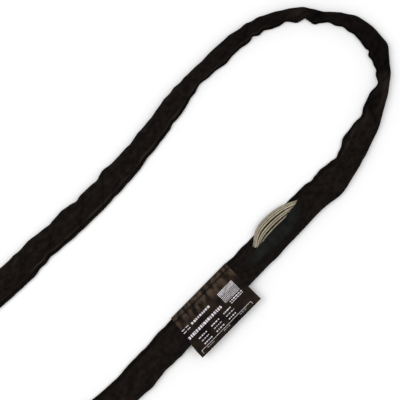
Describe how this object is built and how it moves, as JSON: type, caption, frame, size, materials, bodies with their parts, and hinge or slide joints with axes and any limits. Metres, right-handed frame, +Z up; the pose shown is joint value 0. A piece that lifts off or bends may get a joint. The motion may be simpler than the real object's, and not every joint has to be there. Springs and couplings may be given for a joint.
{
  "type": "round sling",
  "caption": "Endless steel-core round sling laid flat, with a double black jacket, an open inspection window over the cable core, and a sewn label.",
  "frame": {"origin": "centre of the sling's outline, on the surface that it lies on", "axes": "+X along the long loop towards the rounder, narrower end; +Y away from the leg with the window and label; +Z up from the floor"},
  "size_m": [0.8196, 0.3117, 0.0166],
  "materials": {
    "core_cable": "galvanised wire rope, satin",
    "swaged_sleeve": "pressed, dull",
    "tie_tape": "cloth tape",
    "jacket_cloth": "woven polyester, matt",
    "inner_cloth": "woven polyester, matt",
    "thread": "bonded thread",
    "hook_and_loop": "hook and loop tape",
    "label_satin": "printed satin, slight sheen"
  },
  "bodies": {
    "sling": {"core_turn_1": "core_cable", "core_turn_2": "core_cable", "core_turn_3": "core_cable", "core_turn_4": "core_cable", "core_turn_5": "core_cable", "core_turn_6": "core_cable", "core_turn_7": "core_cable", "core_turn_8": "core_cable", "core_turn_9": "core_cable", "splice_sleeve": "swaged_sleeve", "core_tie_1": "tie_tape", "core_tie_2": "tie_tape", "core_tie_3": "tie_tape", "core_tie_4": "tie_tape", "outer_jacket": "jacket_cloth", "inner_jacket": "inner_cloth", "seam_needle_thread": "thread", "seam_bobbin_thread": "thread", "joint_stitching": "thread", "lip_loop_strip": "hook_and_loop", "window_bar_tacks": "thread", "tag_sewn_edge": "label_satin", "tag_stitching": "thread"},
    "flap": {"window_flap": "jacket_cloth", "flap_hook_strip": "hook_and_loop", "flap_stitching": "thread"},
    "label_leaf": {"tag_leaf": "label_satin"}
  },
  "joints": [
    {"name": "window_flap_fold", "type": "hinge", "parent": "sling", "child": "flap", "pos_m": [0.11193, -0.09302, 0.0151], "axis": [-0.9975, -0.0712, 0], "range_deg": [0, 175]},
    {"name": "label_lift", "type": "hinge", "parent": "sling", "child": "label_leaf", "pos_m": [-0.0183, -0.09181, 0.01256], "axis": [-0.9982, -0.0598, 0], "range_deg": [0, 170]}
  ]
}
